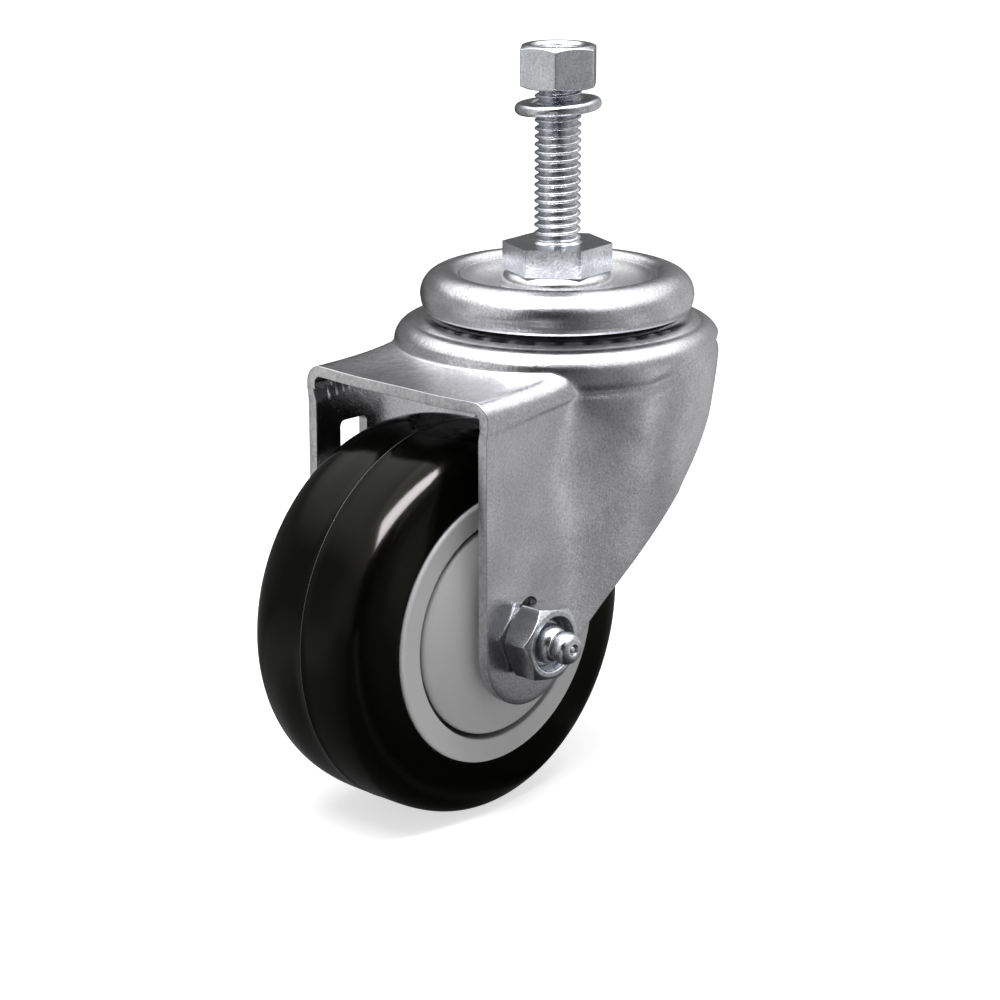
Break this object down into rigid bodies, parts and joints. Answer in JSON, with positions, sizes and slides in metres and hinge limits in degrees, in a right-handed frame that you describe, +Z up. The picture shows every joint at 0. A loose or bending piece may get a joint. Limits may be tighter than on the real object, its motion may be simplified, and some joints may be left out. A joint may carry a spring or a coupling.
{
  "type": "swivel castor",
  "caption": "Swivel castor with a threaded stem, pressed steel fork, ball race swivel and a black wheel on a grey hub.",
  "frame": {"origin": "on the stem's axis at the top face of the stem's hexagon, the face that seats on what the castor carries", "axes": "+Z up along the threaded stem, the wheel trails towards -X, the axle lies along Y with the grease fitting on the -Y side"},
  "size_m": [0.1045, 0.0677, 0.145],
  "materials": {
    "zinc": "bright zinc plate",
    "ball_steel": "polished",
    "bearing_steel": "ground",
    "tyre": "glossy polyurethane",
    "hub": "satin moulded",
    "guard": "satin moulded"
  },
  "bodies": {
    "stem": {"stem": "zinc", "top_raceway": "zinc", "lower_race": "zinc"},
    "washer": {"lock_washer": "zinc"},
    "nut": {"stem_nut": "zinc"},
    "swivel_balls": {"upper_balls": "ball_steel", "lower_balls": "ball_steel"},
    "fork": {"fork": "zinc", "axle_bolt": "zinc", "axle_nut": "zinc", "grease_fitting": "zinc", "check_ball": "ball_steel", "check_spring": "bearing_steel", "axle_sleeve": "bearing_steel", "bearing_spacer": "bearing_steel", "bearing_inner_near": "bearing_steel", "bearing_inner_far": "bearing_steel", "thread_guard_near": "guard", "thread_guard_far": "guard"},
    "wheel": {"tyre": "tyre", "hub": "hub", "bearing_outer_near": "bearing_steel", "bearing_outer_far": "bearing_steel", "bearing_shield_near": "bearing_steel", "bearing_shield_far": "bearing_steel"},
    "wheel_balls": {"bearing_balls_near": "ball_steel", "bearing_balls_far": "ball_steel"}
  },
  "joints": [
    {"name": "swivel", "type": "hinge", "parent": "stem", "child": "fork", "pos_m": [0, 0, -0.02], "axis": [0, 0, 1], "continuous": true},
    {"name": "swivel_balls_roll", "type": "hinge", "parent": "stem", "child": "swivel_balls", "pos_m": [0, 0, -0.02], "axis": [0, 0, 1], "continuous": true},
    {"name": "wheel_spin", "type": "hinge", "parent": "fork", "child": "wheel", "pos_m": [-0.03396, 0, -0.0681], "axis": [0, 1, 0], "continuous": true},
    {"name": "wheel_balls_roll", "type": "hinge", "parent": "fork", "child": "wheel_balls", "pos_m": [-0.03396, 0, -0.0681], "axis": [0, 1, 0], "continuous": true},
    {"name": "washer_slide", "type": "slide", "parent": "stem", "child": "washer", "axis": [0, 0, 1], "range_m": [-0.0252, 0]},
    {"name": "stem_nut_turn", "type": "hinge", "parent": "washer", "child": "nut", "pos_m": [0, 0, 0.0347], "axis": [0, 0, 1], "range_deg": [-5700, 0]}
  ],
  "couplings": [
    {"joint": "swivel_balls_roll", "follows": "swivel", "ratio": 0.5},
    {"joint": "wheel_balls_roll", "follows": "wheel_spin", "ratio": 0.6154},
    {"joint": "washer_slide", "follows": "stem_nut_turn", "m_per_rad": 0.00025266}
  ]
}
